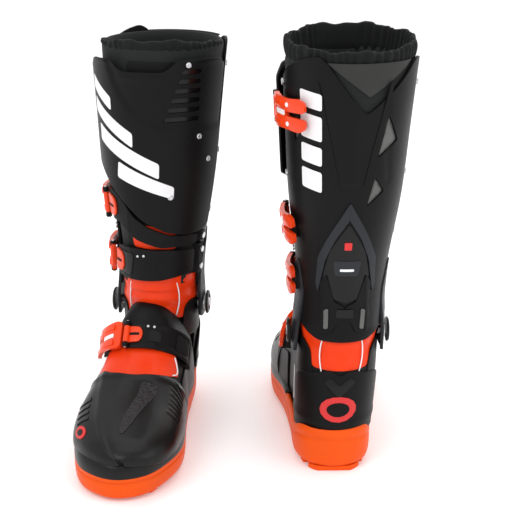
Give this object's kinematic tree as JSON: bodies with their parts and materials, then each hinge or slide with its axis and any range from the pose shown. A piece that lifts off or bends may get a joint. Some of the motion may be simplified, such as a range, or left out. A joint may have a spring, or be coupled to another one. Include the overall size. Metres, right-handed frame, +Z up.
{
  "type": "riding boots",
  "caption": "Pair of tall motocross riding boots with a hinged ankle, a swing-open shin plate, buckled straps with lever closures and a cupped rubber sole.",
  "frame": {"origin": "middle of the pair's footprint on the ground", "axes": "+Z up; -Y is where the right boot's toe points and +Y where the left boot's toe points; the left boot is on the +X side"},
  "size_m": [0.348, 0.3808, 0.44],
  "materials": {
    "sole_rubber": "matte",
    "insert_rubber": "matte",
    "screw_steel": "satin",
    "footbed_foam": "matte",
    "black_shell": "satin",
    "gusset_fabric": "matte",
    "black_strap": "satin",
    "orange_plastic": "satin",
    "liner_fabric": "matte",
    "gaiter_fabric": "matte",
    "grip_rubber": "matte"
  },
  "bodies": {
    "right_foot": {"right_outsole": "sole_rubber", "right_sole_insert": "insert_rubber", "right_sole_screws": "screw_steel", "right_footbed": "footbed_foam", "right_foot_shell": "black_shell", "right_ankle_gusset": "gusset_fabric", "right_toe_cap": "black_shell", "right_heel_counter": "black_shell", "right_ankle_bolts": "screw_steel", "right_instep_mounts": "black_shell"},
    "right_instep_strap": {"right_instep_strap": "black_strap", "right_instep_pin": "screw_steel"},
    "right_instep_lever": {"right_instep_lever": "orange_plastic"},
    "right_cuff": {"right_cuff_liner": "liner_fabric", "right_gaiter": "gaiter_fabric", "right_calf_shell": "black_shell", "right_achilles_plate": "black_shell", "right_inner_guard": "grip_rubber", "right_strap_mounts": "black_shell", "right_cuff_screws": "screw_steel"},
    "right_lower_strap": {"right_lower_strap": "black_strap", "right_lower_pin": "screw_steel"},
    "right_lower_lever": {"right_lower_lever": "orange_plastic"},
    "right_upper_strap": {"right_upper_strap": "black_strap", "right_upper_pin": "screw_steel"},
    "right_upper_lever": {"right_upper_lever": "orange_plastic"},
    "right_shin_plate": {"right_shin_plate": "black_shell", "right_shin_pad": "liner_fabric", "right_top_pin": "screw_steel"},
    "right_top_lever": {"right_top_lever": "orange_plastic"},
    "left_foot": {"left_outsole": "sole_rubber", "left_sole_insert": "insert_rubber", "left_sole_screws": "screw_steel", "left_footbed": "footbed_foam", "left_foot_shell": "black_shell", "left_ankle_gusset": "gusset_fabric", "left_toe_cap": "black_shell", "left_heel_counter": "black_shell", "left_ankle_bolts": "screw_steel", "left_instep_mounts": "black_shell"},
    "left_instep_strap": {"left_instep_strap": "black_strap", "left_instep_pin": "screw_steel"},
    "left_instep_lever": {"left_instep_lever": "orange_plastic"},
    "left_cuff": {"left_cuff_liner": "liner_fabric", "left_gaiter": "gaiter_fabric", "left_calf_shell": "black_shell", "left_achilles_plate": "black_shell", "left_inner_guard": "grip_rubber", "left_strap_mounts": "black_shell", "left_cuff_screws": "screw_steel"},
    "left_lower_strap": {"left_lower_strap": "black_strap", "left_lower_pin": "screw_steel"},
    "left_lower_lever": {"left_lower_lever": "orange_plastic"},
    "left_upper_strap": {"left_upper_strap": "black_strap", "left_upper_pin": "screw_steel"},
    "left_upper_lever": {"left_upper_lever": "orange_plastic"},
    "left_shin_plate": {"left_shin_plate": "black_shell", "left_shin_pad": "liner_fabric", "left_top_pin": "screw_steel"},
    "left_top_lever": {"left_top_lever": "orange_plastic"}
  },
  "joints": [
    {"name": "boots_apart", "type": "slide", "parent": "right_foot", "child": "left_foot", "axis": [1, 0, 0], "range_m": [0, 0.3]},
    {"name": "right_ankle_flex", "type": "hinge", "parent": "right_foot", "child": "right_cuff", "pos_m": [-0.09285, 0.04556, 0.128], "axis": [0.9942, -0.108, 0], "range_deg": [-5, 10], "stiffness_Nm_per_rad": 30, "deforming": ["right_ankle_gusset"]},
    {"name": "right_instep_strap_swing", "type": "hinge", "parent": "right_foot", "child": "right_instep_strap", "pos_m": [-0.06014, -0.01648, 0.08936], "axis": [0.0748, 0.6881, 0.7218], "range_deg": [0, 45]},
    {"name": "right_instep_lever_swing", "type": "hinge", "parent": "right_instep_strap", "child": "right_instep_lever", "pos_m": [-0.1249, -0.04193, 0.12033], "axis": [0.0748, 0.6881, 0.7218], "range_deg": [0, 110]},
    {"name": "right_shin_plate_swing", "type": "hinge", "parent": "right_cuff", "child": "right_shin_plate", "pos_m": [-0.03652, 0.02134, 0.23], "axis": [0.1102, -0.012, 0.9938], "range_deg": [0, 40]},
    {"name": "right_top_lever_swing", "type": "hinge", "parent": "right_shin_plate", "child": "right_top_lever", "pos_m": [-0.15749, 0.0556, 0.366], "axis": [-0.0571, 0.0062, 0.9983], "range_deg": [0, 110]},
    {"name": "right_upper_strap_swing", "type": "hinge", "parent": "right_cuff", "child": "right_upper_strap", "pos_m": [-0.04707, 0.01066, 0.218], "axis": [0, 0, 1], "range_deg": [0, 45]},
    {"name": "right_upper_lever_swing", "type": "hinge", "parent": "right_upper_strap", "child": "right_upper_lever", "pos_m": [-0.1483, 0.02946, 0.2455], "axis": [-0.0965, 0.0105, 0.9953], "range_deg": [0, 110]},
    {"name": "right_lower_strap_swing", "type": "hinge", "parent": "right_cuff", "child": "right_lower_strap", "pos_m": [-0.04879, 0.01085, 0.204], "axis": [0, 0, 1], "range_deg": [0, 35]},
    {"name": "right_lower_lever_swing", "type": "hinge", "parent": "right_lower_strap", "child": "right_lower_lever", "pos_m": [-0.14253, 0.02078, 0.1875], "axis": [-0.0208, 0.0023, 0.9998], "range_deg": [0, 110]},
    {"name": "left_ankle_flex", "type": "hinge", "parent": "left_foot", "child": "left_cuff", "pos_m": [0.0977, -0.04737, 0.128], "axis": [-0.9997, -0.0262, 0], "range_deg": [-5, 10], "stiffness_Nm_per_rad": 30, "deforming": ["left_ankle_gusset"]},
    {"name": "left_instep_strap_swing", "type": "hinge", "parent": "left_foot", "child": "left_instep_strap", "pos_m": [0.13537, 0.01179, 0.08936], "axis": [-0.0181, 0.6919, -0.7218], "range_deg": [0, 45]},
    {"name": "left_instep_lever_swing", "type": "hinge", "parent": "left_instep_strap", "child": "left_instep_lever", "pos_m": [0.07292, 0.04246, 0.12033], "axis": [-0.0181, 0.6919, -0.7218], "range_deg": [0, 110]},
    {"name": "left_shin_plate_swing", "type": "hinge", "parent": "left_cuff", "child": "left_shin_plate", "pos_m": [0.15582, -0.02784, 0.23], "axis": [-0.1108, -0.0029, -0.9938], "range_deg": [0, 40]},
    {"name": "left_top_lever_swing", "type": "hinge", "parent": "left_shin_plate", "child": "left_top_lever", "pos_m": [0.03245, -0.05208, 0.366], "axis": [0.0575, 0.0015, -0.9983], "range_deg": [0, 110]},
    {"name": "left_upper_strap_swing", "type": "hinge", "parent": "left_cuff", "child": "left_upper_strap", "pos_m": [0.14618, -0.01634, 0.218], "axis": [0, 0, -1], "range_deg": [0, 45]},
    {"name": "left_upper_lever_swing", "type": "hinge", "parent": "left_upper_strap", "child": "left_upper_lever", "pos_m": [0.04375, -0.02677, 0.2455], "axis": [0.097, 0.0025, -0.9953], "range_deg": [0, 110]},
    {"name": "left_lower_strap_swing", "type": "hinge", "parent": "left_cuff", "child": "left_lower_strap", "pos_m": [0.14445, -0.01638, 0.204], "axis": [0, 0, -1], "range_deg": [0, 35]},
    {"name": "left_lower_lever_swing", "type": "hinge", "parent": "left_lower_strap", "child": "left_lower_lever", "pos_m": [0.05021, -0.0186, 0.1875], "axis": [0.0209, 0.0005, -0.9998], "range_deg": [0, 110]}
  ]
}
